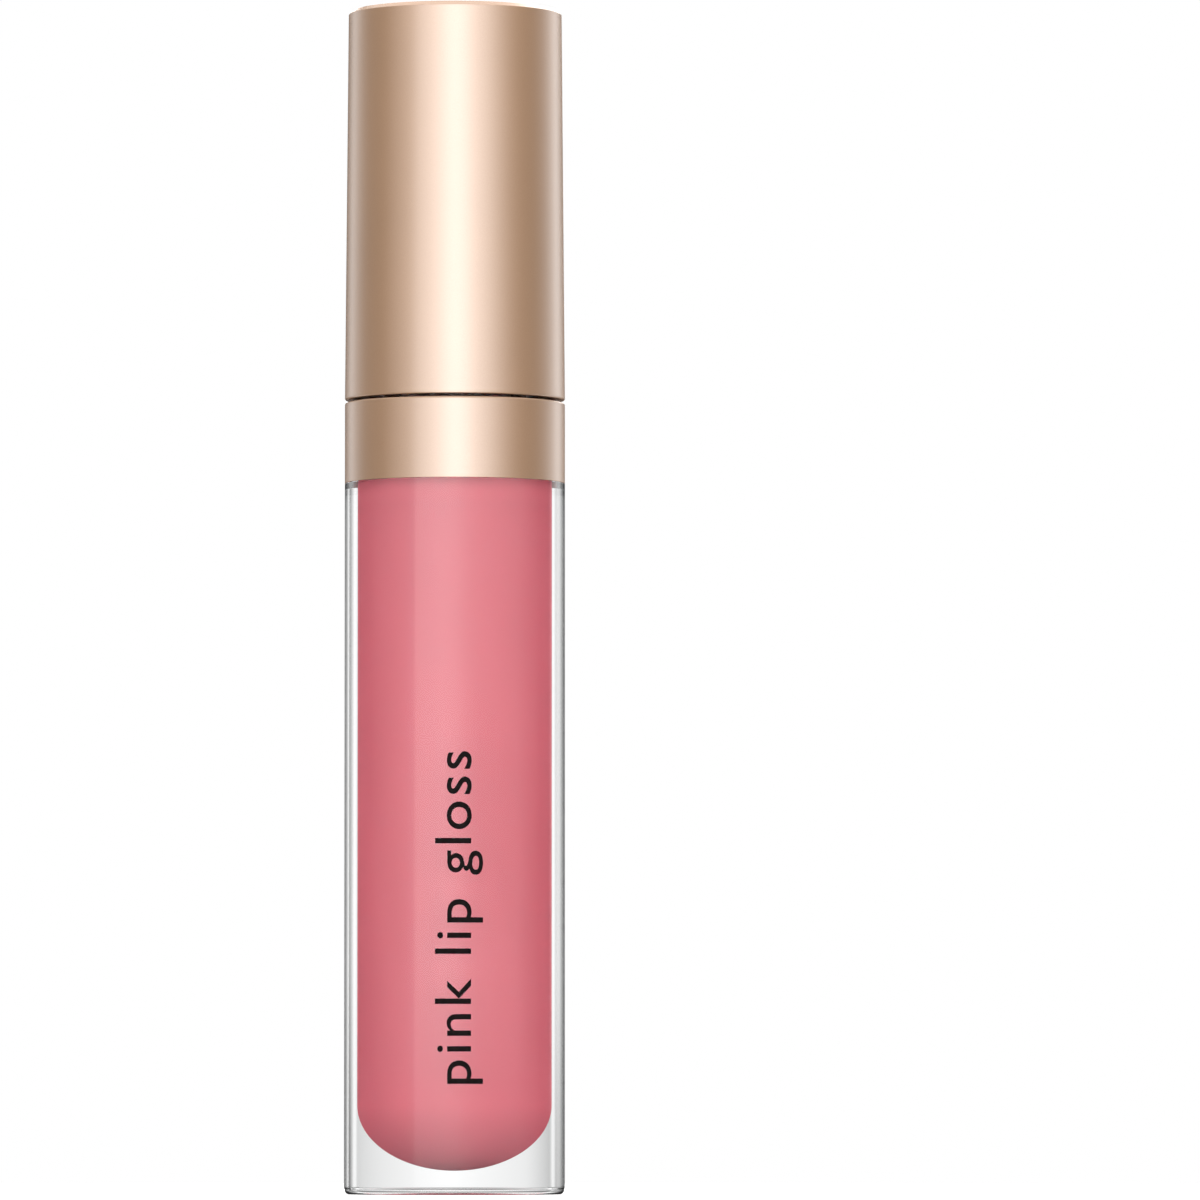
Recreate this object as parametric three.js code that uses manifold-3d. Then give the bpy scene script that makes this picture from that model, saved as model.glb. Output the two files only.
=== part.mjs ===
// Lip gloss tube: a heavy-walled clear bottle of gloss with a metallised collar, closed by a screw
// cap that carries the applicator, a stem with a flocked doe-foot tip.
// Millimetres, +Z up, origin at the centre of the base. The tube stands closed. Every piece is
// turned about the Z axis except the two thread ridges and the slanted tip.
import * as THREE from "three";
import { mergeVertices } from "three/addons/utils/BufferGeometryUtils.js";
import Module from "manifold-3d";

const wasm = await Module();
wasm.setup();

// ---- Driving dimensions ----
const TUBE_R = 9.25; // bottle, collar and the cap's open end are flush
const HEIGHT = 99.5; // base to cap top, closed
const COLLAR_Z = 59.6; // lower edge of the collar, on the bottle's step
const CAP_Z = 66.65; // open rim of the cap
const SEAM = 0.25; // shadow gap between collar and cap
const REACH = 62.9; // how far the tip stands out of the cap's rim
const FIT = 0.03; // gap between pieces that are pressed or glued together

const CHAMBER_R = 5.45; // bore of the bottle, which ends in a half sphere
const CHAMBER_FLOOR = 2; // thickness of the clear base under it
const BASE_FILLET = 0.45;
const RECESS_R = 5.1; // moulding recess under the base
const RECESS_DEPTH = 0.25;
const SPIGOT_R = 8.6; // what the collar is pressed on
const SPIGOT_TOP = 65.45;
const THROAT_Z = 60.6; // where the chamber starts to narrow to the neck
const NECK_R = 6;
const NECK_BORE = 4.7;
const NECK_TOP = 79;

const LEAD = 3; // rise of the cap in one turn
const THREAD_TURNS = 1.5;
const NECK_THREAD_Z = 70; // middle of the neck's ridge where it starts
const FLANK_DROP = 0.85; // the liner's ridge runs this far under it and bears up against it
const RIDGE = 0.55; // height of both ridges
const RIDGE_ROOT = 1.2; // width of a ridge at its foot
const RIDGE_CREST = 0.6;
const RIDGE_BITE = 0.15; // how deep a ridge is rooted in its wall

const COLLAR_WALL = 0.62;
const COLLAR_FLANGE = 0.8;
const COLLAR_EYE = 6.9; // hole in the flange, wider than the neck thread
const EDGE = 0.2; // rounding of the collar's and the cap's edges

const WIPER_FLANGE_R = 5.9;
const WIPER_FLANGE = 0.75;
const WIPER_R = 4.62;
const WIPER_BORE = 4;
const WIPER_LIP_Z = 68.6; // lower end of the wiping lip
const WIPER_ORIFICE = 2.35;

const WASHER_EYE = 2.6;
const WASHER_R = 5.8;
const WASHER_THICK = 0.75;

const SHELL_TOP_R = 8.97; // the shell narrows a little towards its closed end
const SHELL_BORE = 8.4;
const SHELL_CEILING = 0.8;
const SHELL_TOP_EDGE = 0.4;
const LINER_R = 8.35;
const LINER_BORE = 6.75;
const LINER_RIM_Z = 67.3;
const LINER_FLOOR = 1.5; // thickness of the wall that bears on the washer
const LINER_TOP = 91;
const SOCKET_R = 3.4;
const SOCKET_BORE = 2.2;
const SOCKET_END = 90;
const WEIGHT_R = 8.2;
const WEIGHT_GAP = 0.15; // under and over the weight

const STEM_R = 2.14;
const STEM_BORE = 1.3;
const STEM_BORE_DEPTH = 9;
const PEG_DEPTH = 8;
const TIP_LENGTH = 13.7;
const TIP_R = 2.55; // half width of the flocked tip where it meets the stem
const TIP_LEAN = 4.6; // sideways travel of the tip's middle line, per tip length
const TIP_BEND = 0.25; // share of the length over which the lean sets in
const TIP_FLATTEN = 0.2; // how much thinner the tip gets front to back
const COAT_START = 0.5; // share of the tip's length that the gloss coat leaves bare
const COAT_THICK = 0.2;
const FLOCK_THICK = 0.4;
const GLOSS_CLEAR = 0.15; // gap that the gloss leaves round the applicator

const AROUND = 36; // facets of a turned piece
const TIP_AROUND = 20;
const TIP_STEPS = 11;

const tipBase = CAP_Z - REACH + TIP_LENGTH;

// ---- Materials ----
const finish = (color, roughness, metalness, opacity = 1) =>
  new THREE.MeshStandardMaterial({ color, roughness, metalness, opacity, transparent: opacity < 1 });

const clearPlastic = finish(0xf4f6f6, 0.05, 0, 0.35);
const roseGold = finish(0xcfae93, 0.3, 1);
const gloss = finish(0xdc7f8b, 0.2, 0);
const whitePlastic = finish(0xececec, 0.4, 0);
const frostedPlastic = finish(0xe6e8e8, 0.35, 0);
const softFoam = finish(0xf0f0ee, 0.8, 0);
const steel = finish(0xa9acae, 0.35, 1);
const elastomer = finish(0xf2f2f0, 0.6, 0);
const flock = finish(0xf6f6f6, 0.95, 0);

// ---- Shaping ----
const p = (x, y) => new THREE.Vector2(x, y);

// Points of a round stretch, without its first one. Angles in degrees, counter-clockwise.
function arc(x, y, radius, from, to, steps) {
  const at = (i) => THREE.MathUtils.degToRad(from + ((to - from) * i) / steps);
  return Array.from({ length: steps }, (_, i) =>
    p(x + radius * Math.cos(at(i + 1)), y + radius * Math.sin(at(i + 1))),
  );
}

// Revolves an outline of (radius, height) points, listed with the material on their left.
function turned(outline) {
  return new THREE.LatheGeometry(outline, AROUND).rotateX(Math.PI / 2);
}

// The outline of a piece with a hole through it, closed on itself.
const ring = (outline) => [...outline, outline[0].clone()];

function solid(geometry) {
  const bare = new THREE.BufferGeometry().setIndex(geometry.index);
  bare.setAttribute("position", geometry.getAttribute("position"));
  const merged = mergeVertices(bare, 1e-4);
  return new wasm.Manifold(
    new wasm.Mesh({
      numProp: 3,
      vertProperties: merged.getAttribute("position").array,
      triVerts: new Uint32Array(merged.index.array),
    }),
  );
}

function geometryOf(shape) {
  const { vertProperties, triVerts } = shape.getMesh();
  const geometry = new THREE.BufferGeometry();
  geometry.setAttribute("position", new THREE.BufferAttribute(vertProperties, 3));
  geometry.setIndex(new THREE.BufferAttribute(triVerts, 1));
  geometry.computeVertexNormals();
  return geometry;
}

// A thread ridge: a long bar bent into a right-handed helix, tapering out at both ends.
// It stands out of the wall of that radius, or into the bore where inward is true.
function threadRidge(wallRadius, startZ, inward) {
  const stepsPerTurn = 24;
  const bar = new THREE.BoxGeometry(1, 1, 1, stepsPerTurn * THREAD_TURNS, 1, 1);
  const position = bar.getAttribute("position");
  const side = inward ? -1 : 1;
  for (let i = 0; i < position.count; i++) {
    const along = position.getX(i) + 0.5;
    const isCrest = position.getY(i) > 0;
    const taper = Math.min(1, 8 * along, 8 * (1 - along));
    const width = isCrest ? RIDGE_CREST : RIDGE_ROOT;
    const radius = wallRadius + side * (isCrest ? RIDGE * taper : -RIDGE_BITE);
    const turn = 2 * Math.PI * along * THREAD_TURNS;
    const z = startZ + LEAD * along * THREAD_TURNS + side * position.getZ(i) * -width;
    position.setXYZ(i, radius * Math.cos(turn), radius * Math.sin(turn), z);
  }
  return bar;
}

// The tip's middle line and half widths at a share of its length, from the stem to its end.
const tipOffset = (t) => -TIP_LEAN * (t - TIP_BEND * (1 - Math.exp(-t / TIP_BEND)));
const tipHalfWidth = (t) => TIP_R * Math.sqrt(Math.max(0, 1 - t ** 3.3));

// The slanted tip as a stack of level ellipses that closes to a point, inset evenly all round.
function tipBody(inset, start = 0) {
  const end = (1 - (inset / TIP_R) ** 2) ** (1 / 3.3);
  const outline = [p(0, 0), p(1, 0)];
  for (let i = 1; i <= TIP_STEPS; i++) outline.push(p(i < TIP_STEPS ? 1 : 0, i / TIP_STEPS));
  const body = new THREE.LatheGeometry(outline, TIP_AROUND).rotateX(Math.PI / 2);
  const position = body.getAttribute("position");
  for (let i = 0; i < position.count; i++) {
    const share = position.getZ(i);
    const t = start + (end - start) * (1 - (1 - share) ** 2);
    const halfX = Math.max(0, tipHalfWidth(t) - inset);
    const halfY = halfX * (1 - TIP_FLATTEN * t);
    const x = tipOffset(t) + halfX * position.getX(i);
    position.setXYZ(i, x, -halfY * position.getY(i), tipBase - TIP_LENGTH * t);
  }
  return solid(body);
}

// ---- Bottle ----
function bottle() {
  const body = solid(
    turned([
      p(0, RECESS_DEPTH),
      p(RECESS_R, RECESS_DEPTH),
      p(RECESS_R + RECESS_DEPTH, 0),
      p(TUBE_R - BASE_FILLET, 0),
      ...arc(TUBE_R - BASE_FILLET, BASE_FILLET, BASE_FILLET, -90, 0, 3),
      p(TUBE_R, COLLAR_Z),
      p(SPIGOT_R, COLLAR_Z),
      p(SPIGOT_R, SPIGOT_TOP),
      p(NECK_R, SPIGOT_TOP),
      p(NECK_R, NECK_TOP),
      p(NECK_BORE, NECK_TOP),
      p(NECK_BORE, THROAT_Z + 2),
      p(CHAMBER_R, THROAT_Z),
      p(CHAMBER_R, CHAMBER_FLOOR + CHAMBER_R),
      ...arc(0, CHAMBER_FLOOR + CHAMBER_R, CHAMBER_R, 0, -90, 7),
    ]),
  );
  return body.add(solid(threadRidge(NECK_R, NECK_THREAD_Z, false)));
}

function collar() {
  const top = CAP_Z - SEAM;
  return turned(
    ring([
      p(TUBE_R - COLLAR_WALL, COLLAR_Z + FIT),
      p(TUBE_R, COLLAR_Z + FIT),
      p(TUBE_R, top - EDGE),
      ...arc(TUBE_R - EDGE, top - EDGE, EDGE, 0, 90, 2),
      p(COLLAR_EYE, top),
      p(COLLAR_EYE, top - COLLAR_FLANGE),
      p(TUBE_R - COLLAR_WALL, top - COLLAR_FLANGE),
    ]),
  );
}

const wiperSeat = NECK_TOP + FIT;

function wiper() {
  const top = wiperSeat + WIPER_FLANGE;
  return turned(
    ring([
      p(WIPER_ORIFICE, WIPER_LIP_Z),
      p(WIPER_ORIFICE + 0.5, WIPER_LIP_Z),
      p(WIPER_R, WIPER_LIP_Z + 2.6),
      p(WIPER_R, wiperSeat),
      p(WIPER_FLANGE_R, wiperSeat),
      p(WIPER_FLANGE_R, top - EDGE),
      p(WIPER_FLANGE_R - EDGE, top),
      p(WIPER_BORE + EDGE, top),
      p(WIPER_BORE, top - EDGE),
      p(WIPER_BORE, WIPER_LIP_Z + 3),
      p(WIPER_ORIFICE, WIPER_LIP_Z + 0.8),
    ]),
  );
}

// The gloss fills the chamber, with room for the applicator that stands in it.
function glossFill() {
  const radius = CHAMBER_R - FIT;
  const centre = CHAMBER_FLOOR + CHAMBER_R;
  const fill = solid(
    turned([
      p(0, centre - radius),
      ...arc(0, centre, radius, -90, 0, 7),
      p(radius, THROAT_Z - FIT),
      p(0, THROAT_Z - FIT),
    ]),
  );
  const stemRoom = STEM_R + GLOSS_CLEAR;
  const stemHole = solid(
    turned([p(0, tipBase - 1), p(stemRoom, tipBase - 1), p(stemRoom, NECK_TOP), p(0, NECK_TOP)]),
  );
  return fill.subtract(stemHole).subtract(tipBody(-GLOSS_CLEAR));
}

// ---- Cap ----
const washerSeat = wiperSeat + WIPER_FLANGE + FIT;

function sealWasher() {
  const top = washerSeat + WASHER_THICK;
  return turned(
    ring([
      p(WASHER_EYE, washerSeat),
      p(WASHER_R, washerSeat),
      p(WASHER_R, top),
      p(WASHER_EYE, top),
    ]),
  );
}

function capShell() {
  const ceiling = HEIGHT - SHELL_CEILING;
  return turned([
    p(0, ceiling),
    p(SHELL_BORE - EDGE, ceiling),
    p(SHELL_BORE, ceiling - EDGE),
    p(SHELL_BORE, CAP_Z + EDGE),
    p(SHELL_BORE + EDGE, CAP_Z),
    p(TUBE_R - EDGE, CAP_Z),
    ...arc(TUBE_R - EDGE, CAP_Z + EDGE, EDGE, -90, 0, 2),
    p(SHELL_TOP_R, HEIGHT - SHELL_TOP_EDGE),
    ...arc(SHELL_TOP_R - SHELL_TOP_EDGE, HEIGHT - SHELL_TOP_EDGE, SHELL_TOP_EDGE, 0, 90, 3),
    p(0, HEIGHT),
  ]);
}

// The liner holds the thread and, in its socket, the stem.
function innerCap() {
  const underside = washerSeat + WASHER_THICK + FIT;
  const body = solid(
    turned([
      p(0, SOCKET_END),
      p(SOCKET_BORE, SOCKET_END),
      p(SOCKET_BORE, underside),
      p(LINER_BORE, underside),
      p(LINER_BORE, LINER_RIM_Z + EDGE),
      p(LINER_BORE + EDGE, LINER_RIM_Z),
      p(LINER_R, LINER_RIM_Z),
      p(LINER_R, LINER_TOP),
      p(LINER_BORE, LINER_TOP),
      p(LINER_BORE, underside + LINER_FLOOR),
      p(SOCKET_R, underside + LINER_FLOOR),
      p(SOCKET_R, LINER_TOP),
      p(0, LINER_TOP),
    ]),
  );
  return body.add(solid(threadRidge(LINER_BORE, NECK_THREAD_Z - FLANK_DROP, true)));
}

function capWeight() {
  const low = LINER_TOP + WEIGHT_GAP;
  const high = HEIGHT - SHELL_CEILING - WEIGHT_GAP;
  return turned([
    p(0, low),
    p(WEIGHT_R - EDGE, low),
    p(WEIGHT_R, low + EDGE),
    p(WEIGHT_R, high - EDGE),
    p(WEIGHT_R - EDGE, high),
    p(0, high),
  ]);
}

// ---- Applicator ----
function stem() {
  const foot = tipBase + FIT;
  const top = SOCKET_END - 2 * FIT;
  return turned([
    p(0, foot + STEM_BORE_DEPTH),
    p(STEM_BORE, foot + STEM_BORE_DEPTH),
    p(STEM_BORE, foot),
    p(STEM_R, foot),
    p(STEM_R, top - 2 * EDGE),
    p(STEM_R - 2 * EDGE, top),
    p(0, top),
  ]);
}

function tipCore() {
  const pegRadius = STEM_BORE - FIT;
  const peg = turned([
    p(0, tipBase - 1),
    p(pegRadius, tipBase - 1),
    p(pegRadius, tipBase + PEG_DEPTH - EDGE),
    p(pegRadius - EDGE, tipBase + PEG_DEPTH),
    p(0, tipBase + PEG_DEPTH),
  ]);
  return tipBody(FLOCK_THICK + COAT_THICK).add(solid(peg));
}

// Everything below a level share of the tip's length, as a block to cut with.
function beyond(share) {
  const block = new THREE.BoxGeometry(40, 40, 40);
  return solid(block.translate(0, 0, tipBase - TIP_LENGTH * share - 20));
}

function glossCoat() {
  return tipBody(0).intersect(beyond(COAT_START)).subtract(tipBody(COAT_THICK));
}

function flockCover() {
  const bare = tipBody(0).subtract(beyond(COAT_START - FIT / TIP_LENGTH));
  const underCoat = tipBody(COAT_THICK + FIT);
  return bare.add(underCoat).subtract(tipBody(FLOCK_THICK + COAT_THICK - FIT));
}

// ---- Assembly ----
function piece(name, shape, material) {
  const geometry = shape.isBufferGeometry ? shape : geometryOf(shape);
  const mesh = new THREE.Mesh(geometry, material);
  mesh.name = name;
  return mesh;
}

const filledBottle = new THREE.Group();
filledBottle.add(
  piece("bottle", bottle(), clearPlastic),
  piece("collar", collar(), roseGold),
  piece("wiper", wiper(), whitePlastic),
  piece("gloss_fill", glossFill(), gloss),
);

const applicator = new THREE.Group();
applicator.add(
  piece("cap_shell", capShell(), roseGold),
  piece("inner_cap", innerCap(), whitePlastic),
  piece("cap_weight", capWeight(), steel),
  piece("seal_washer", sealWasher(), softFoam),
  piece("stem", stem(), frostedPlastic),
  piece("tip_core", tipCore(), elastomer),
  piece("flock_cover", flockCover(), flock),
  piece("gloss_coat", glossCoat(), gloss),
);

const lipGlossTube = new THREE.Group();
lipGlossTube.add(filledBottle, applicator);

export default lipGlossTube;
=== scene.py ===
"""The looks of a lip gloss tube: a heavy-walled clear bottle of pink gloss with a rose-gold collar and
screw cap, whose cap carries a frosted stem with a flocked doe-foot tip. Metres, +Z up, tube closed."""

import math
import random

import bmesh
import bpy
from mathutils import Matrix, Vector


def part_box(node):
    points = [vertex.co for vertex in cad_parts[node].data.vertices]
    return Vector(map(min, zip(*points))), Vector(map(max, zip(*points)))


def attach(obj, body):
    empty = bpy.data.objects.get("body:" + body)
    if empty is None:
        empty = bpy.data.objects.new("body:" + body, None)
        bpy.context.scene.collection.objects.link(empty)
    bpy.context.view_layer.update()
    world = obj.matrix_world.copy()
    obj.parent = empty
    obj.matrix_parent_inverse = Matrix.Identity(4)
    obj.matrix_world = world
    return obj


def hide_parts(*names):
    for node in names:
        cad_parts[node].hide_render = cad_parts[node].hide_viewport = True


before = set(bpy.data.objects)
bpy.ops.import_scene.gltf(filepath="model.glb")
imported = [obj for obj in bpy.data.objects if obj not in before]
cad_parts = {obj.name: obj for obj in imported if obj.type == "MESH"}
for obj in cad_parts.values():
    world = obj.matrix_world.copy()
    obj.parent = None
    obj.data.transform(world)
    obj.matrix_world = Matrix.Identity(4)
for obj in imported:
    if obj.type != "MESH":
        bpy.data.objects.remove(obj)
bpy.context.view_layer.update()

MM = 0.001

# ---- Sizes that the frame gives ----
def foot(node):
    """The lowest height of a CAD node."""
    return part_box(node)[0].z


def top(node):
    """The highest height of a CAD node."""
    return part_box(node)[1].z


def radius(node):
    """Half the width of a CAD node across the tip's lean."""
    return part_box(node)[1].y


TUBE_R = radius("bottle")
HEIGHT = top("cap_shell")
CAP_Z = foot("cap_shell")
NECK_TOP = top("bottle")
COLLAR_Z = foot("collar")
COLLAR_TOP = top("collar")
STEM_R = radius("stem")
TIP_BASE = top("flock_cover")
FIT = 0.03 * MM  # gap between pieces that are pressed or glued together
TIP_LENGTH = TIP_BASE - foot("flock_cover") + FIT
TIP_R = radius("flock_cover")

# ---- Sizes inside the frame's boxes, as the CAD has them ----
CHAMBER_R = radius("gloss_fill") + FIT
CHAMBER_FLOOR = foot("gloss_fill") - FIT
CHAMBER_TOP = top("gloss_fill") + FIT
SPIGOT_R = 8.6 * MM
SPIGOT_TOP = COLLAR_TOP - 0.95 * MM
NECK_R = 6 * MM
NECK_BORE = 4.7 * MM
RECESS_R = 5.1 * MM  # moulding recess under the base
RECESS_DEPTH = 0.25 * MM
COLLAR_BORE = TUBE_R - 0.62 * MM
COLLAR_EYE = 6.9 * MM  # the hole in its flange, wider than the thread
COLLAR_FLANGE = 0.8 * MM

LEAD = 3 * MM  # rise of the cap in one turn
THREAD_TURNS = 1.5
NECK_THREAD_Z = 70 * MM  # middle of the neck's ridge where it starts
FLANK_DROP = 0.85 * MM  # the liner's ridge runs this far under it
RIDGE = 0.55 * MM  # height of both ridges
RIDGE_ROOT = 1.15 * MM
RIDGE_CREST = 0.6 * MM
RIDGE_FADE = 0.12  # turns over which a ridge runs out

WIPER_R = 4.62 * MM
WIPER_BORE = 4 * MM
WIPER_ORIFICE = 2.35 * MM
WASHER_EYE = 2.6 * MM
SHELL_BORE = 8.4 * MM
SHELL_CEILING = 0.8 * MM
SHELL_TOP_R = 8.97 * MM
LINER_BORE = 6.75 * MM
LINER_FLOOR = 1.5 * MM
SOCKET_R = 3.4 * MM
SOCKET_BORE = 2.2 * MM
STEM_BORE = 1.3 * MM
STEM_BORE_DEPTH = 9 * MM

TIP_LEAN = 4.6 * MM  # sideways travel of the tip's middle line, per tip length
TIP_BEND = 0.25  # share of the length over which the lean sets in
TIP_FLATTEN = 0.2  # how much thinner the tip gets front to back
TIP_BLUNT = 3.3  # power that shapes its round end
COAT_THICK = 0.2 * MM
FLOCK_THICK = 0.4 * MM

# ---- Clearances, and how finely the pieces are made ----
GLOSS_CLEAR = 0.15 * MM  # gap that the gloss leaves round the applicator
FLUFF_CLEAR = 0.35 * MM  # the same round the fibres, which stand between these shares of the tip's length
FLUFF_START = -0.06
FLUFF_END = 0.55
ROOM_STEPS = 120
EASE = 0.1 * MM  # usual rounding of an edge
AROUND = 144  # steps round a turned piece
COAT_AROUND = 72
COAT_FADE = 0.012  # share of the tip's length over which the coat's edge thins out
FLOCK_AROUND = 96
FIBRES = 4200
GUARD = 0.03 * MM  # rows this close to a rounding keep the shading of the long walls beside it straight
CRISP = math.radians(32)  # an edge that turns by more than this stays sharp


# ---- Mesh making ----
def finished(name, mesh):
    """The object of a bmesh, smooth but for its sharp edges."""
    data = bpy.data.meshes.new(name)
    mesh.to_mesh(data)
    mesh.free()
    data.shade_smooth()
    data.set_sharp_from_angle(angle=CRISP)
    piece = bpy.data.objects.new(name, data)
    bpy.context.scene.collection.objects.link(piece)
    return piece


def skin(mesh, rows, closed):
    """Faces between rows of points, each a ring or a single pole. closed joins the last row to the first."""
    pairs = list(zip(rows, rows[1:]))
    if closed:
        pairs.append((rows[-1], rows[0]))
    around = max(len(row) for row in rows)
    for low, high in pairs:
        for i in range(around):
            j = (i + 1) % around
            ring = [low[i % len(low)], low[j % len(low)], high[j % len(high)], high[i % len(high)]]
            corners = list(dict.fromkeys(ring))
            if len(corners) > 2:
                mesh.faces.new(corners)


def turned(name, outline, bend=None, around=AROUND):
    """A turned piece from an outline of (radius, height) points with the material on their left. An outline
    that starts off the axis closes on itself. bend(radius, height, angle) may give another radius."""
    mesh = bmesh.new()
    rows = []
    for out, height in outline:
        if out < FIT / 10:
            rows.append([mesh.verts.new((0, 0, height))])
            continue
        row = []
        for step in range(around):
            angle = math.tau * step / around
            reach = bend(out, height, angle) if bend else out
            row.append(mesh.verts.new((reach * math.cos(angle), reach * math.sin(angle), height)))
        rows.append(row)
    skin(mesh, rows, closed=len(rows[0]) > 1)
    return finished(name, mesh)


def arc(x, z, size, start, end, steps=24):
    """Points of a round stretch, in degrees counter-clockwise."""
    turns = [math.radians(start + (end - start) * i / steps) for i in range(steps + 1)]
    return [(x + size * math.cos(turn), z + size * math.sin(turn)) for turn in turns]


def rounded(corners, steps=6):
    """The outline through (radius, height) or (radius, height, rounding) corners."""
    outline = []
    for i, corner in enumerate(corners):
        here = Vector(corner[:2])
        if len(corner) < 3:
            outline.append(tuple(here))
            continue
        back = (Vector(corners[i - 1][:2]) - here).normalized()
        on = (Vector(corners[(i + 1) % len(corners)][:2]) - here).normalized()
        half = back.angle(on) / 2
        centre = here + (back + on).normalized() * corner[2] / math.sin(half)
        reach = corner[2] / math.tan(half)
        first = here + back * reach - centre
        last = here + on * reach - centre
        sweep = math.pi - 2 * half
        outline.append(tuple(here + back * (reach + GUARD)))
        for step in range(steps + 1):
            share = step / steps
            point = first * math.sin((1 - share) * sweep) + last * math.sin(share * sweep)
            outline.append(tuple(centre + point / math.sin(sweep)))
        outline.append(tuple(here + on * (reach + GUARD)))
    return outline


def ridge(height, angle, start):
    """How far a thread's ridge stands out at a place on its wall, from 0 to 1."""
    stands = 0
    for turn in range(2):
        along = angle / math.tau + turn
        taper = min(1, along / RIDGE_FADE, (THREAD_TURNS - along) / RIDGE_FADE)
        off = abs(height - start - LEAD * along)
        flank = (RIDGE_ROOT / 2 - off) / (RIDGE_ROOT / 2 - RIDGE_CREST / 2)
        stands = max(stands, min(taper, 1) * min(1, max(0, flank)))
    return stands * stands * (3 - 2 * stands)


def wall_rows(out, low, high, step=0.12 * MM):
    """Closely spaced outline points up a wall that carries a thread, without its ends."""
    count = round(abs(high - low) / step)
    return [(out, low + (high - low) * i / count) for i in range(1, count)]


def cut(piece, tool):
    """Cuts the tool's shape out of the piece and deletes the tool."""
    cutter = piece.modifiers.new("cut", "BOOLEAN")
    cutter.operation = "DIFFERENCE"
    cutter.solver = "EXACT"
    cutter.object = tool
    bpy.context.view_layer.update()
    seen = piece.evaluated_get(bpy.context.evaluated_depsgraph_get())
    piece.data = bpy.data.meshes.new_from_object(seen)
    piece.modifiers.clear()
    bpy.data.objects.remove(tool)


def placed(piece, body, slot, material, *nodes):
    """Gives a piece its material, hides the CAD nodes that it stands for, and hangs it on its body. The slot
    is not used."""
    piece.data.materials.clear()
    piece.data.materials.append(material)
    if nodes:
        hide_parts(*nodes)
    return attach(piece, body)


# ---- Materials ----
def principled(name):
    """A new material, its node tree and its shader."""
    made = bpy.data.materials.new(name)
    made.use_nodes = True
    shader = made.node_tree.nodes["Principled BSDF"]
    return made, made.node_tree, shader


def add(tree, kind, **values):
    """A node of that kind, with each value set on the property or input socket of that name."""
    node = tree.nodes.new("ShaderNode" + kind)
    for name, value in values.items():
        if hasattr(node, name):
            setattr(node, name, value)
        else:
            node.inputs[name.replace("_", " ").title()].default_value = value
    return node


def grain(tree, scale, detail=3.0, stretch=(1, 1, 1)):
    """Noise in the object's own coordinates, in lumps per metre. A stretch under 1 draws it out."""
    place = add(tree, "TexCoord")
    mapping = add(tree, "Mapping", Scale=stretch)
    lumps = add(tree, "TexNoise", Scale=scale, Detail=detail)
    tree.links.new(place.outputs["Object"], mapping.inputs["Vector"])
    tree.links.new(mapping.outputs["Vector"], lumps.inputs["Vector"])
    return lumps.outputs["Fac"]


def spread(tree, source, low, high):
    """A number between low and high that follows a noise."""
    ranged = add(tree, "MapRange")
    ranged.inputs["From Min"].default_value = 0.3
    ranged.inputs["From Max"].default_value = 0.7
    ranged.inputs["To Min"].default_value = low
    ranged.inputs["To Max"].default_value = high
    tree.links.new(source, ranged.inputs["Value"])
    return ranged.outputs["Result"]


def tinted(tree, source, low, high):
    """A colour between low and high that follows a noise."""
    ramp = add(tree, "ValToRGB")
    ramp.color_ramp.elements[0].position = 0.3
    ramp.color_ramp.elements[0].color = (*low, 1)
    ramp.color_ramp.elements[1].position = 0.7
    ramp.color_ramp.elements[1].color = (*high, 1)
    tree.links.new(source, ramp.inputs["Fac"])
    return ramp.outputs["Color"]


def ramp_of(tree, place, levels, span):
    """A grey ramp through (place, value) pairs, values of at most 1. span turns a place into 0 to 1."""
    ramp = add(tree, "ValToRGB")
    tree.links.new(place, ramp.inputs["Fac"])
    stops = ramp.color_ramp.elements
    for stop, (_, value) in zip((stops[0], stops[1]), (levels[0], levels[-1])):
        stop.color = (value, value, value, 1)
    for at, value in levels[1:-1]:
        stops.new(span(at)).color = (value, value, value, 1)
    return ramp.outputs["Color"]


def bumped(tree, shader, source, strength, depth):
    """Makes the surface follow a noise, as far as its shading goes."""
    bump = add(tree, "Bump", Strength=strength, Distance=depth)
    tree.links.new(source, bump.inputs["Height"])
    tree.links.new(bump.outputs["Normal"], shader.inputs["Normal"])


def rose_gold():
    """Satin metallised finish, broad and even, under a clear lacquer that carries the white highlight."""
    made, tree, shader = principled("rose_gold")
    shader.inputs["Metallic"].default_value = 0.6
    shader.inputs["Coat Weight"].default_value = 1
    shader.inputs["Coat Roughness"].default_value = 0.27
    shader.inputs["Coat IOR"].default_value = 2.3
    fine = grain(tree, 9000)
    broad = grain(tree, 90)
    colour = tinted(tree, broad, (0.405, 0.24, 0.135), (0.425, 0.252, 0.142))
    tree.links.new(colour, shader.inputs["Base Color"])
    tree.links.new(spread(tree, fine, 0.62, 0.7), shader.inputs["Roughness"])
    return made


def clear_acrylic():
    """Water-clear acrylic, polished by its mould."""
    made, tree, shader = principled("clear_acrylic")
    shader.inputs["Transmission Weight"].default_value = 1
    shader.inputs["IOR"].default_value = 1.49
    shader.inputs["Coat Weight"].default_value = 0.4
    shader.inputs["Coat Roughness"].default_value = 0
    shader.inputs["Roughness"].default_value = 0
    cast = grain(tree, 300)
    colour = tinted(tree, cast, (0.982, 0.988, 0.988), (0.988, 0.992, 0.992))
    tree.links.new(colour, shader.inputs["Base Color"])
    return made


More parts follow.
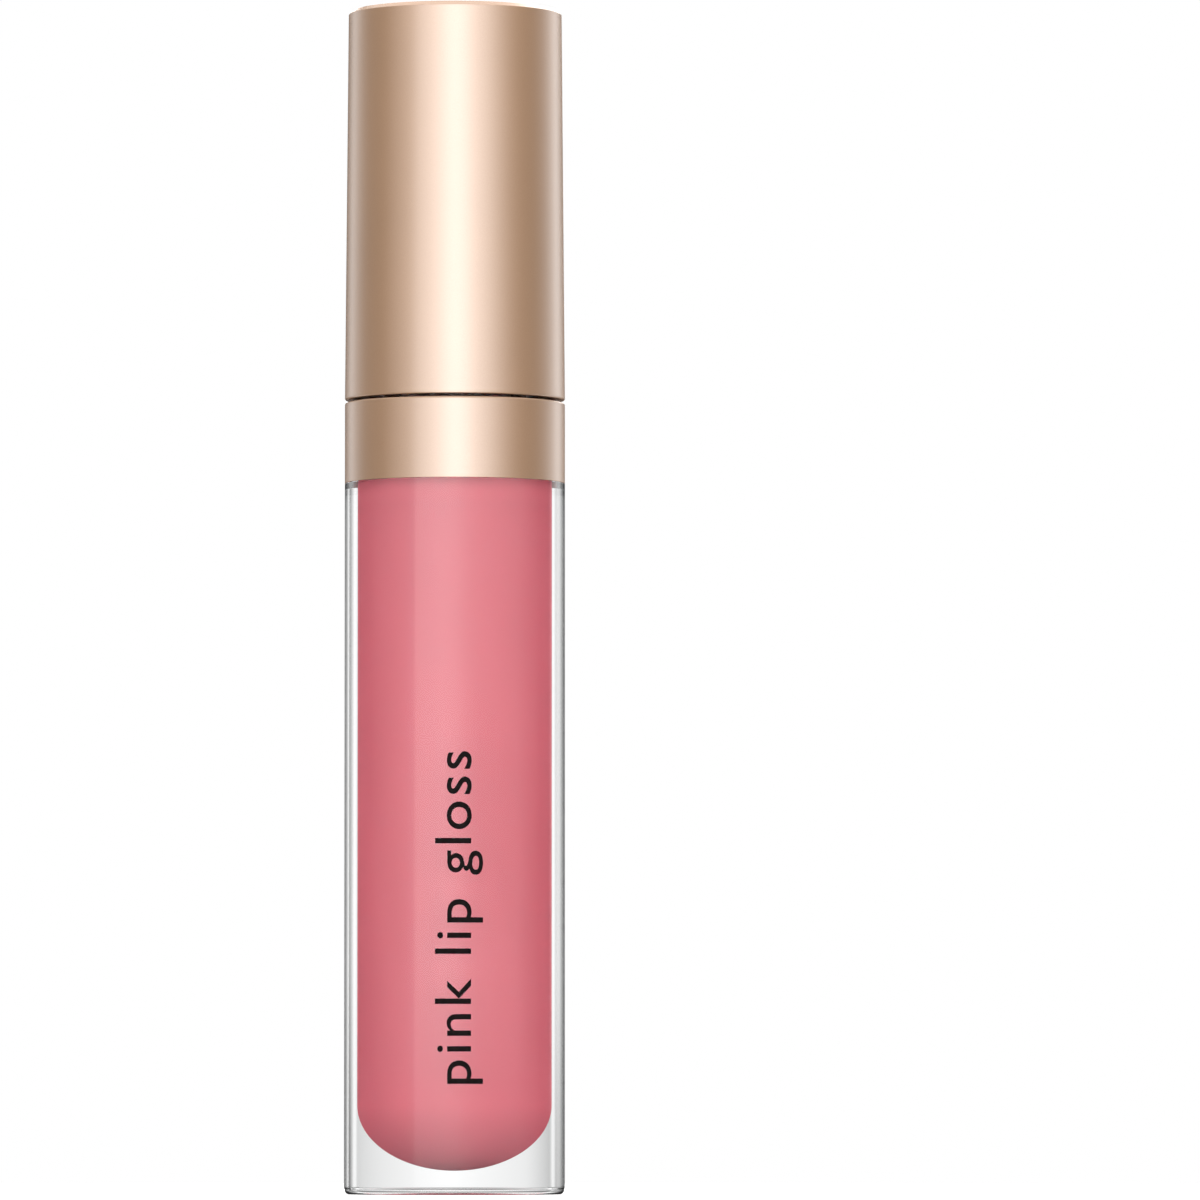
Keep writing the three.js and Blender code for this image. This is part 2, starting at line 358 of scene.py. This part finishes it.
def pink_gloss(name, specular, low, high, shares=()):
    """Creamy gloss with a faint swirl of pearl. Inside the acrylic it has next to no reflection of its own.
    (height, share) pairs, if any, scale its colour up the tube: painted shade in the round bowl, and painted
    light just under the collar against the collar's shade."""
    made, tree, shader = principled(name)
    swirl = grain(tree, 220, detail=4, stretch=(1, 1, 0.25))
    colour = tinted(tree, swirl, low, high)
    # painted shade and painted light: the colour is scaled by height, darker down in the bowl and lightest
    # just under the collar
    if shares:
        place = add(tree, "TexCoord")
        axes = add(tree, "SeparateXYZ")
        tree.links.new(place.outputs["Object"], axes.inputs["Vector"])
        up = add(tree, "MapRange")
        up.inputs["From Max"].default_value = HEIGHT
        tree.links.new(axes.outputs["Z"], up.inputs["Value"])
        painted_shading = add(tree, "VectorMath", operation="MULTIPLY")
        tree.links.new(colour, painted_shading.inputs[0])
        tree.links.new(ramp_of(tree, up.outputs["Result"], shares, lambda z: z / HEIGHT), painted_shading.inputs[1])
        colour = painted_shading.outputs["Vector"]
    tree.links.new(colour, shader.inputs["Base Color"])
    shader.inputs["Roughness"].default_value = 0.12
    shader.inputs["Specular IOR Level"].default_value = specular
    shader.inputs["Subsurface Weight"].default_value = 0.12
    shader.inputs["Subsurface Radius"].default_value = (1, 0.35, 0.3)
    shader.inputs["Subsurface Scale"].default_value = 0.8 * MM
    return made


def white_polymer():
    """The white plastic of the liner and the wiper, faintly cloudy."""
    made, tree, shader = principled("white_polymer")
    cloud = grain(tree, 500)
    tree.links.new(tinted(tree, cloud, (0.56, 0.56, 0.555), (0.62, 0.62, 0.615)), shader.inputs["Base Color"])
    tree.links.new(spread(tree, cloud, 0.3, 0.42), shader.inputs["Roughness"])
    shader.inputs["Subsurface Weight"].default_value = 0.2
    shader.inputs["Subsurface Scale"].default_value = 0.5 * MM
    return made


def frosted_polymer():
    """The stem's natural polypropylene, cloudy and half clear."""
    made, tree, shader = principled("frosted_polymer")
    cloud = grain(tree, 700, stretch=(1, 1, 0.2))
    tree.links.new(tinted(tree, cloud, (0.62, 0.625, 0.63), (0.66, 0.665, 0.67)), shader.inputs["Base Color"])
    shader.inputs["Roughness"].default_value = 0.34
    shader.inputs["Transmission Weight"].default_value = 0.2
    shader.inputs["IOR"].default_value = 1.49
    return made


def white_foam():
    """The washer's closed cells."""
    made, tree, shader = principled("white_foam")
    cells = grain(tree, 4500)
    tree.links.new(tinted(tree, cells, (0.5, 0.5, 0.49), (0.6, 0.6, 0.585)), shader.inputs["Base Color"])
    shader.inputs["Roughness"].default_value = 0.85
    bumped(tree, shader, cells, 0.6, 0.08 * MM)
    return made


def steel_slug():
    """Turned steel, with fine rings from the tool."""
    made, tree, shader = principled("steel_slug")
    turning = grain(tree, 900, stretch=(0.2, 0.2, 4))
    tree.links.new(tinted(tree, turning, (0.5, 0.5, 0.51), (0.62, 0.62, 0.63)), shader.inputs["Base Color"])
    shader.inputs["Metallic"].default_value = 1
    tree.links.new(spread(tree, turning, 0.28, 0.45), shader.inputs["Roughness"])
    return made


def white_elastomer():
    """The soft core under the flocking."""
    made, tree, shader = principled("white_elastomer")
    cloud = grain(tree, 800)
    tree.links.new(tinted(tree, cloud, (0.55, 0.55, 0.54), (0.6, 0.6, 0.59)), shader.inputs["Base Color"])
    shader.inputs["Roughness"].default_value = 0.6
    return made


def nylon_flock():
    """Matt white tufts with a slight sheen."""
    made, tree, shader = principled("nylon_flock")
    tufts = grain(tree, 5000, detail=2)
    tree.links.new(tinted(tree, tufts, (0.36, 0.36, 0.365), (0.56, 0.56, 0.565)), shader.inputs["Base Color"])
    shader.inputs["Roughness"].default_value = 0.9
    shader.inputs["Sheen Weight"].default_value = 0.15
    bumped(tree, shader, tufts, 0.8, 0.1 * MM)
    return made


def black_ink():
    """Screen-printed ink, matt and a little uneven."""
    made, tree, shader = principled("black_ink")
    screen = grain(tree, 3000)
    colour = tinted(tree, screen, (0.004, 0.003, 0.003), (0.009, 0.007, 0.007))
    tree.links.new(colour, shader.inputs["Base Color"])
    shader.inputs["Roughness"].default_value = 0.8
    shader.inputs["Specular IOR Level"].default_value = 0.05
    return made


# ---- Bottle ----
def make_bottle():
    """The thick clear wall, the solid base with its recess, the collar's step and the threaded neck."""
    centre = CHAMBER_FLOOR + CHAMBER_R
    soft = 0.08 * MM
    base_r = TUBE_R - 0.06 * MM
    outline = rounded([
        (0, RECESS_DEPTH),
        (RECESS_R, RECESS_DEPTH, soft),
        (RECESS_R, 0, soft),
        (base_r, 0, 0.36 * MM),
        (base_r, 0.42 * MM, 0.02 * MM),
        (TUBE_R, 0.55 * MM, 0.02 * MM),
        (TUBE_R, COLLAR_Z - FIT),
        (SPIGOT_R, COLLAR_Z - FIT),
        (SPIGOT_R, SPIGOT_TOP, EASE),
        (NECK_R, SPIGOT_TOP, EASE),
    ])
    outline += wall_rows(NECK_R, SPIGOT_TOP + 0.2 * MM, NECK_TOP - 0.2 * MM)
    outline += rounded([
        (NECK_R, NECK_TOP - 0.3 * MM),
        (NECK_R, NECK_TOP, 0.15 * MM),
        (NECK_BORE, NECK_TOP, EASE),
        (NECK_BORE, CHAMBER_TOP + 2 * MM, 0.5 * MM),
        (CHAMBER_R, CHAMBER_TOP, 0.5 * MM),
        (CHAMBER_R, centre + 1 * MM),
    ])
    outline += arc(0, centre, CHAMBER_R, 0, -90)

    def threaded(out, height, angle):
        on_neck = out > NECK_R - FIT and height > SPIGOT_TOP + 0.2 * MM
        return out + RIDGE * ridge(height, angle, NECK_THREAD_Z) if on_neck else out

    return turned("bottle_clear", outline, threaded)


def make_collar():
    """The metallised ring, with a flange over the bottle's step."""
    under = COLLAR_TOP - COLLAR_FLANGE
    return turned("collar_ring", rounded([
        (COLLAR_BORE, COLLAR_Z),
        (TUBE_R, COLLAR_Z, 0.04 * MM),
        (TUBE_R, COLLAR_TOP, 0.18 * MM),
        (COLLAR_EYE, COLLAR_TOP, EASE),
        (COLLAR_EYE, under, EASE),
        (COLLAR_BORE, under, EASE),
    ]))


def make_wiper():
    """The insert in the neck, a flange on the rim and a narrow lip that wipes the stem."""
    low, high = foot("wiper"), top("wiper")
    seat = NECK_TOP + FIT
    flange = radius("wiper")
    lip = 0.5 * MM
    cone_foot = low + 0.8 * MM
    cone_outside = low + 2.6 * MM
    cone_inside = low + 3 * MM
    bend = 0.6 * MM
    return turned("wiper_insert", rounded([
        (WIPER_ORIFICE, low, EASE),
        (WIPER_ORIFICE + lip, low, 0.2 * MM),
        (WIPER_R, cone_outside, bend),
        (WIPER_R, seat),
        (flange, seat, EASE),
        (flange, high, 0.2 * MM),
        (WIPER_BORE, high, 0.25 * MM),
        (WIPER_BORE, cone_inside, bend),
        (WIPER_ORIFICE, cone_foot, 0.15 * MM),
    ]))


def room_radius(z):
    """What the leaning tip and the stem sweep at a level, while the cap turns and rises out of its thread."""
    reach = STEM_R + GLOSS_CLEAR
    for i in range(ROOM_STEPS + 1):
        t = (TIP_BASE - z + THREAD_TURNS * LEAD * i / ROOM_STEPS) / TIP_LENGTH
        clear = FLUFF_CLEAR if t < FLUFF_END else GLOSS_CLEAR
        if t > FLUFF_START:
            reach = max(reach, -tip_point(min(max(t, 0), 1), math.pi, -clear)[0])
    return reach


def make_gloss():
    """The gloss wets the chamber's wall, so it reaches a hair into it. Inside is room for the applicator."""
    wet = 0.02 * MM
    out = CHAMBER_R + wet
    centre = CHAMBER_FLOOR + CHAMBER_R
    outline = arc(0, centre, out, -90, 0, steps=32)
    outline += [
        (out, centre + GUARD),
        (out, CHAMBER_TOP - 0.2 * MM),
        (CHAMBER_R - 0.4 * MM, CHAMBER_TOP + 0.2 * MM),
        (0, CHAMBER_TOP + 0.2 * MM),
    ]
    gloss = turned("gloss_liquid", outline)
    deep = TIP_BASE - TIP_LENGTH - GLOSS_CLEAR
    levels = [deep + (NECK_TOP - deep) * i / ROOM_STEPS for i in range(ROOM_STEPS + 1)]
    room = [(0, deep)] + [(room_radius(z), z) for z in levels] + [(0, NECK_TOP)]
    cut(gloss, turned("applicator_room", room))
    return gloss


def make_print():
    """A plain description up the front of the wall, in black ink that follows the curve."""
    letter_height = 3 * MM  # of a tall letter, over the line of writing
    line_x = 1.5 * MM  # the line of writing stands this far to the right of the middle
    foot_z = 9.2 * MM
    length = 27.6 * MM
    ink = 0.015 * MM  # how thick the ink lies
    curve = bpy.data.curves.new("print_black", "FONT")
    curve.body = "pink lip gloss"
    curve.size = 1
    curve.space_character = 1.12
    curve.offset = 0.003
    letters = bpy.data.objects.new("print_black", curve)
    bpy.context.scene.collection.objects.link(letters)
    bpy.context.view_layer.update()
    data = bpy.data.meshes.new_from_object(letters.evaluated_get(bpy.context.evaluated_depsgraph_get()))
    bpy.data.objects.remove(letters)
    mesh = bmesh.new()
    mesh.from_mesh(data)
    bmesh.ops.remove_doubles(mesh, verts=mesh.verts, dist=0.0005)
    across = [v.co.x for v in mesh.verts]
    up = [v.co.y for v in mesh.verts]
    start, end, low, high = min(across), max(across), min(up), max(up)
    grow = length / (end - start)
    tall = letter_height / high
    strips = 14
    for i in range(1, strips):
        everything = mesh.verts[:] + mesh.edges[:] + mesh.faces[:]
        line = low + (high - low) * i / strips
        bmesh.ops.bisect_plane(mesh, geom=everything, plane_co=(0, line, 0), plane_no=(0, 1, 0))
    for v in mesh.verts:
        turn = (v.co.y * tall - line_x) / TUBE_R
        z = foot_z + (v.co.x - start) * grow
        v.co = (-TUBE_R * math.sin(turn), -TUBE_R * math.cos(turn), z)
    out = mesh.faces[:]
    bmesh.ops.recalc_face_normals(mesh, faces=out)
    walls = bmesh.ops.extrude_face_region(mesh, geom=out)
    for v in [g for g in walls["geom"] if isinstance(g, bmesh.types.BMVert)]:
        v.co += Vector((v.co.x, v.co.y, 0)).normalized() * ink
    bmesh.ops.recalc_face_normals(mesh, faces=mesh.faces)
    return finished("print_black", mesh)


# ---- Cap ----
def make_washer():
    """The foam ring between the neck's rim and the liner."""
    low, high = foot("seal_washer"), top("seal_washer")
    out = radius("seal_washer")
    return turned("washer_foam", rounded([
        (WASHER_EYE, low, EASE),
        (out, low, EASE),
        (out, high, EASE),
        (WASHER_EYE, high, EASE),
    ]))


def make_shell():
    """The metallised outer cap, a little narrower at its closed end, with a fine flat bevel."""
    bevel_z = HEIGHT - 0.34 * MM
    bevel_r = SHELL_TOP_R - 0.36 * MM
    bevel_edge = 0.06 * MM
    ceiling = HEIGHT - SHELL_CEILING
    return turned("cap_outer", rounded([
        (0, ceiling),
        (SHELL_BORE, ceiling, 0.3 * MM),
        (SHELL_BORE, CAP_Z, 0.15 * MM),
        (TUBE_R, CAP_Z, 0.14 * MM),
        (SHELL_TOP_R, bevel_z, bevel_edge),
        (bevel_r, HEIGHT, bevel_edge),
        (0, HEIGHT),
    ]))


def make_liner():
    """The white inner cap: the thread, the wall that bears on the washer, and the stem's socket."""
    rim, high = foot("inner_cap"), top("inner_cap")
    under = top("seal_washer") + FIT
    out = radius("inner_cap")
    socket_end = high - 1 * MM
    outline = rounded([
        (0, socket_end),
        (SOCKET_BORE, socket_end, EASE),
        (SOCKET_BORE, under, EASE),
        (LINER_BORE, under, 0.2 * MM),
    ])
    outline += wall_rows(LINER_BORE, under - 0.3 * MM, rim + 0.3 * MM)
    outline += rounded([
        (LINER_BORE, rim + 0.3 * MM),
        (LINER_BORE, rim, 0.2 * MM),
        (out, rim, EASE),
        (out, high, EASE),
        (LINER_BORE, high, EASE),
        (LINER_BORE, under + LINER_FLOOR, 0.2 * MM),
        (SOCKET_R, under + LINER_FLOOR, 0.2 * MM),
        (SOCKET_R, high, 0.2 * MM),
        (0, high),
    ])

    def threaded(reach, height, angle):
        in_bore = abs(reach - LINER_BORE) < FIT and rim < height < under
        return reach - RIDGE * ridge(height, angle, NECK_THREAD_Z - FLANK_DROP) if in_bore else reach

    return turned("cap_liner", outline, threaded)


# ---- Applicator ----
def make_stem():
    """The wand, with a bore at its lower end that holds the tip's peg."""
    low, high = foot("stem"), top("stem")
    return turned("stem_rod", rounded([
        (0, low + STEM_BORE_DEPTH),
        (STEM_BORE, low + STEM_BORE_DEPTH, EASE),
        (STEM_BORE, low, EASE),
        (STEM_R, low, 0.2 * MM),
        (STEM_R, high, 0.4 * MM),
        (0, high),
    ]), around=64)


def tip_point(t, angle, inset):
    """A point on the slanted tip at a share t of its length, drawn in by inset."""
    offset = -TIP_LEAN * (t - TIP_BEND * (1 - math.exp(-t / TIP_BEND)))
    half = max(0, TIP_R * math.sqrt(max(0, 1 - t**TIP_BLUNT)) - inset)
    deep = half * (1 - TIP_FLATTEN * t)
    return offset + half * math.cos(angle), deep * math.sin(angle), TIP_BASE - TIP_LENGTH * t


def tip_end(inset):
    """The share of the tip's length at which a skin drawn in by inset closes."""
    return (1 - min(1, (inset / TIP_R)) ** 2) ** (1 / TIP_BLUNT)


def tip_rows(mesh, inset, start, steps, around, inward=False):
    """Rows of points down the tip, from the level start(angle) to its end, and the pole that closes them."""
    end = tip_end(inset)
    rows = []
    for step in range(steps):
        share = step / steps
        row = []
        for i in range(around):
            angle = math.tau * i / around
            t = start(angle) + (end - start(angle)) * (1 - (1 - share) ** 2)
            row.append(mesh.verts.new(tip_point(t, angle, inset)))
        rows.append(row)
    rows.append([mesh.verts.new(tip_point(end, 0, inset))])
    return rows[::-1] if inward else rows


def coat_edge(angle):
    """The wavy level where the gloss on the tip stops, further down on the side that the tip leans to."""
    wave = 0.008 * math.sin(3 * angle + 1) + 0.006 * math.sin(7 * angle)
    return 0.455 - 0.045 * math.cos(angle) + wave


def make_coat():
    """The film of gloss that the lower part of the tip comes up with."""
    mesh = bmesh.new()
    lip = COAT_THICK / 2
    steps = 36

    def start(angle):
        return coat_edge(angle) + COAT_FADE

    outer = tip_rows(mesh, 0, start, steps, COAT_AROUND)
    turns = [math.tau * i / COAT_AROUND for i in range(COAT_AROUND)]
    edge = [mesh.verts.new(tip_point(coat_edge(turn), turn, lip)) for turn in turns]
    inner = tip_rows(mesh, COAT_THICK, start, steps, COAT_AROUND, inward=True)
    skin(mesh, [*inner, edge, *outer], closed=False)
    bmesh.ops.recalc_face_normals(mesh, faces=mesh.faces)
    return finished("tip_gloss", mesh)


def make_flock():
    """The flocked cover: fluffed where it is bare, and drawn in under the gloss."""
    mesh = bmesh.new()
    turns = [math.tau * i / FLOCK_AROUND for i in range(FLOCK_AROUND)]
    steps = 70
    first = 0.012
    shoulder = 0.35 * MM
    bare_depth = 0.02 * MM
    under = COAT_THICK + FIT
    end = tip_end(under)

    def depth(t, angle):
        bare = max(0, min(1, (coat_edge(angle) + 0.004 - t) / COAT_FADE))
        return under - (under - bare_depth) * bare

    rows = [[mesh.verts.new(tip_point(0, turn, shoulder)) for turn in turns]]
    for step in range(steps):
        t = first + (end - first) * (1 - (1 - step / steps) ** 1.6)
        rows.append([mesh.verts.new(tip_point(t, turn, depth(t, turn))) for turn in turns])
    rows.append([mesh.verts.new(tip_point(end, 0, under))])
    inner = tip_rows(mesh, FLOCK_THICK + COAT_THICK - FIT, lambda angle: 0, 24, FLOCK_AROUND, inward=True)
    skin(mesh, [*inner, *rows], closed=False)
    bmesh.ops.recalc_face_normals(mesh, faces=mesh.faces)
    return finished("tip_flock", mesh)


def make_fibres():
    """Short nylon fibres standing out of the bare part of the cover, each a thin closed spike."""
    rng = random.Random(5)
    mesh = bmesh.new()
    corners = (0, 2.1, 4.2)  # of a fibre's foot, as angles
    rooted = 0.12 * MM  # how deep in the cover a fibre starts
    wild = 0.45  # how far the fibres lean out of line
    for _ in range(FIBRES):
        angle = rng.uniform(0, math.tau)
        t = rng.uniform(0.004, coat_edge(angle) + 0.006)
        root = Vector(tip_point(t, angle, rooted))
        out = (Vector(tip_point(t, angle, 0)) - root).normalized()
        lean = Vector((rng.gauss(0, wild), rng.gauss(0, wild), rng.gauss(-0.15, wild)))
        point = root + (out + lean).normalized() * rng.uniform(0.18, 0.36) * MM
        side = out.orthogonal().normalized()
        other = out.cross(side)
        thick = rng.uniform(0.018, 0.03) * MM
        base = [mesh.verts.new(root + (side * math.cos(k) + other * math.sin(k)) * thick) for k in corners]
        peak = mesh.verts.new(point)
        mesh.faces.new(base[::-1])
        for k in range(3):
            mesh.faces.new((base[k], base[(k + 1) % 3], peak))
    bmesh.ops.recalc_face_normals(mesh, faces=mesh.faces)
    return finished("tip_fibres", mesh)


# ---- The pieces on their bodies ----
gold = rose_gold()
white = white_polymer()

placed(make_bottle(), "bottle", "clear_acrylic", clear_acrylic(), "bottle")
placed(make_collar(), "bottle", "rose_gold", gold, "collar")
placed(make_wiper(), "bottle", "white_polymer", white, "wiper")
# painted shade and painted light: the gloss is darkened in the round bowl and brightened in the last few
# millimetres under the collar, where the collar shades it
painted_shade_up_the_tube = [
    (0, 0.44), (CHAMBER_FLOOR, 0.46), (CHAMBER_FLOOR + CHAMBER_R, 0.86),
    (COLLAR_Z - 2 * MM, 0.86), (COLLAR_Z - 0.4 * MM, 1), (HEIGHT, 1),
]
filled = pink_gloss("pink_gloss_filled", 0, (0.815, 0.187, 0.235), (0.85, 0.2, 0.25), painted_shade_up_the_tube)
placed(make_gloss(), "bottle", "pink_gloss", filled, "gloss_fill")
placed(make_print(), "bottle", None, black_ink())  # ink is no slot of the record's
placed(make_washer(), "seal", "white_foam", white_foam(), "seal_washer")
placed(make_shell(), "cap", "rose_gold", gold, "cap_shell")
placed(make_liner(), "cap", "white_polymer", white, "inner_cap")
placed(make_stem(), "cap", "frosted_polymer", frosted_polymer(), "stem")
coat = pink_gloss("pink_gloss_coat", 0.6, (0.48, 0.11, 0.14), (0.52, 0.12, 0.15))
placed(make_coat(), "cap", "pink_gloss", coat, "gloss_coat")
flock = nylon_flock()
placed(make_flock(), "cap", "nylon_flock", flock, "flock_cover")
placed(make_fibres(), "cap", "nylon_flock", flock)

for node, made in (("cap_weight", steel_slug()), ("tip_core", white_elastomer())):
    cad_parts[node].data.materials.clear()
    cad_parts[node].data.materials.append(made)


# ---- Floor, light and camera ----
def make_floor():
    """A plain pale table top, evenly lit by its own faint glow as well as by the studio."""
    bpy.ops.mesh.primitive_circle_add(vertices=128, radius=0.15, fill_type="NGON")
    floor = bpy.context.object
    floor.name = "floor"
    made, tree, shader = principled("floor_white")
    shader.inputs["Base Color"].default_value = (0.4, 0.4, 0.4, 1)
    shader.inputs["Roughness"].default_value = 0.9
    shader.inputs["Emission Color"].default_value = (1, 1, 1, 1)
    shader.inputs["Emission Strength"].default_value = 0.62
    floor.data.materials.append(made)
    floor.visible_transmission = False  # the clear base looks past it at the cards
    floor.visible_glossy = False


def card_light(tree, bearing, rise, around, upright):
    """Light from (bearing, light) pairs, in degrees from the camera's side and positive to its right, times
    (height, share) pairs, in degrees over the horizon."""
    brightest = max(light for _, light in around)
    shares = [(degrees, light / brightest) for degrees, light in around]
    across = ramp_of(tree, bearing, shares, lambda degrees: (degrees + 180) / 360)
    up = ramp_of(tree, rise, upright, lambda degrees: (math.sin(math.radians(degrees)) + 1) / 2)
    both = add(tree, "Math", operation="MULTIPLY")
    tree.links.new(across, both.inputs[0])
    tree.links.new(up, both.inputs[1])
    gain = add(tree, "Math", operation="MULTIPLY")
    gain.inputs[1].default_value = brightest
    tree.links.new(both.outputs[0], gain.inputs[0])
    shade = add(tree, "Background")
    shade.inputs["Color"].default_value = (1, 1, 1, 1)
    tree.links.new(gain.outputs[0], shade.inputs["Strength"])
    return shade.outputs[0]


def either(tree, factor, first, second):
    """The second light where the factor is 1, and the first where it is 0."""
    mix = add(tree, "MixShader")
    tree.links.new(factor, mix.inputs[0])
    tree.links.new(first, mix.inputs[1])
    tree.links.new(second, mix.inputs[2])
    return mix.outputs[0]


def make_studio():
    """A broad soft light in front with dim sides, cards behind that only the clear wall looks at, a light of
    the gloss's own through that wall, and plain white paper behind everything."""
    world = bpy.data.worlds.new("studio")
    bpy.context.scene.world = world
    world.use_nodes = True
    tree = world.node_tree
    tree.nodes.remove(tree.nodes["Background"])
    where = add(tree, "TexCoord")
    axes = add(tree, "SeparateXYZ")
    tree.links.new(where.outputs["Generated"], axes.inputs["Vector"])
    turn = add(tree, "Math", operation="ARCTAN2")
    toward = add(tree, "Math", operation="MULTIPLY")
    toward.inputs[1].default_value = -1
    tree.links.new(axes.outputs["Y"], toward.inputs[0])
    tree.links.new(axes.outputs["X"], turn.inputs[0])
    tree.links.new(toward.outputs[0], turn.inputs[1])
    bearing = add(tree, "MapRange")
    bearing.inputs["From Min"].default_value = -math.pi
    bearing.inputs["From Max"].default_value = math.pi
    tree.links.new(turn.outputs[0], bearing.inputs["Value"])
    rise = add(tree, "MapRange")
    rise.inputs["From Min"].default_value = -1
    tree.links.new(axes.outputs["Z"], rise.inputs["Value"])

    def cards(around, upright):
        return card_light(tree, bearing.outputs["Result"], rise.outputs["Result"], around, upright)

    reflected = cards([
        (-180, 0.1), (-162, 0.1), (-150, 0.5), (-143, 1.3), (-136, 1.6), (-126, 0.9), (-106, 0.2), (-80, 0.1),
        (-64, 0.6), (-52, 0.9), (-42.5, 1.2), (-41, 2.3), (-30, 2.5), (-15, 3.7), (0, 5.2), (12, 4.4),
        (23, 3.0), (33, 2.5), (44, 1.55), (56, 0.75), (68, 0.25), (81, 0.1), (95, 0.15), (112, 0.6),
        (126, 1.4), (136, 2.2), (143, 1.7), (150, 0.7), (162, 0.1), (180, 0.1),
    ], [(-90, 1), (-22, 1), (-14, 0.45), (-8, 0.45), (-3, 1), (12, 1), (25, 0.12), (90, 0.12)])
    on_wall = cards([
        (-180, 0.1), (-162, 0.1), (-150, 0.5), (-143, 1.3), (-136, 1.6), (-126, 0.9), (-118, 0.05),
        (-97, 0.2), (-79, 0.6), (-64, 0.9), (-50, 1.25), (-43, 1.7), (-40, 2.7), (-11, 3.2), (2, 2.9),
        (14, 2.2), (27, 1.7), (53, 1.3), (68, 1.1), (84, 0.55), (102, 0.1), (118, 0.05), (126, 1.4),
        (136, 2.2), (143, 1.7), (150, 0.7), (162, 0.1), (180, 0.1),
    ], [(-90, 1), (-22, 1), (-14, 0.45), (-0.3, 0.45), (0.8, 1), (12, 1), (25, 0.12), (90, 0.12)])
    behind = cards([
        (-180, 1.0), (-150, 0.9), (-139, 0.75), (-131, 0.65), (-128, 1.0), (-125.5, 0.95), (-122.5, 0.4),
        (-118.5, 0.45), (-114, 0.45), (-107.5, 0.2), (-103.5, 0.0), (-90, 0.3), (-70, 0.8), (-45, 0.9),
        (-20, 0.5), (0, 0.9), (25, 0.5), (50, 0.9), (75, 0.8), (90, 0.3), (99, 0.75), (104.5, 0.2),
        (108, 0.55), (113.5, 1.3), (115, 0.0), (118, 0.0), (120, 0.25), (122, 0.5), (125, 1.05), (128, 1.1),
        (130.5, 0.8), (180, 1.0),
    ], [(-90, 1), (4.5, 1), (5.7, 0.3), (12.7, 0.3), (15.5, 1), (90, 1)])
    on_gloss = cards([
        (-180, 7.5), (-140, 1.6), (-105, 1.9), (-75, 3.7), (-45, 5.2), (0, 4.2), (45, 5.4), (75, 3.8),
        (105, 2.0), (140, 1.6), (180, 7.5),
    ], [(-90, 0.05), (-24, 0.05), (-12, 1), (9, 1), (18, 0.08), (90, 0.08)])
    ray = add(tree, "LightPath")
    scattered = add(tree, "Math", operation="MINIMUM")
    scattered.inputs[1].default_value = 1
    tree.links.new(ray.outputs["Diffuse Depth"], scattered.inputs[0])
    through = either(tree, scattered.outputs[0], behind, on_gloss)
    mirrored = either(tree, ray.outputs["Is Singular Ray"], reflected, on_wall)
    lit = either(tree, ray.outputs["Is Transmission Ray"], mirrored, through)
    paper = add(tree, "Background", Strength=1.0)
    paper.inputs["Color"].default_value = (1, 1, 1, 1)
    seen = either(tree, ray.outputs["Is Camera Ray"], lit, paper.outputs[0])
    tree.links.new(seen, tree.nodes["World Output"].inputs["Surface"])
    lamps = [
        ("overhead_broad", (0, 0, 1.2), 3, 28),
        ("overhead_bevels", (0, 0, 1.2), 0.9, 16),
        ("fill_behind", (0.15, 1.05, 0.75), 1, 11),
    ]
    for name, place, size, power in lamps:
        soft = bpy.data.lights.new(name, "AREA")
        soft.shape = "SQUARE"
        soft.size = size
        soft.energy = power
        lamp = bpy.data.objects.new(name, soft)
        lamp.location = place
        lamp.rotation_euler = Vector(place).to_track_quat("Z", "Y").to_euler()
        lamp.visible_camera = False
        lamp.visible_transmission = False  # the gloss is lit through the clear wall, evenly all the way up
        bpy.context.scene.collection.objects.link(lamp)


def make_camera():
    """Nearly level with the base, a long way off, with the tube left of the middle as in a paired picture."""
    distance = 0.85
    eye = 0.006
    frame_width = 100.7 * MM
    aim = Vector((12.2 * MM, 0, 49.85 * MM))
    camera = bpy.data.objects.new("camera", bpy.data.cameras.new("camera"))
    bpy.context.scene.collection.objects.link(camera)
    camera.location = (aim.x, -distance, eye)
    camera.rotation_euler = (aim - camera.location).to_track_quat("-Z", "Y").to_euler()
    camera.data.lens = camera.data.sensor_width * distance / frame_width
    camera.data.clip_start = 0.05
    camera.data.clip_end = 20
    bpy.context.scene.camera = camera


make_floor()
make_studio()
make_camera()
bpy.context.scene.view_settings.view_transform = "Standard"
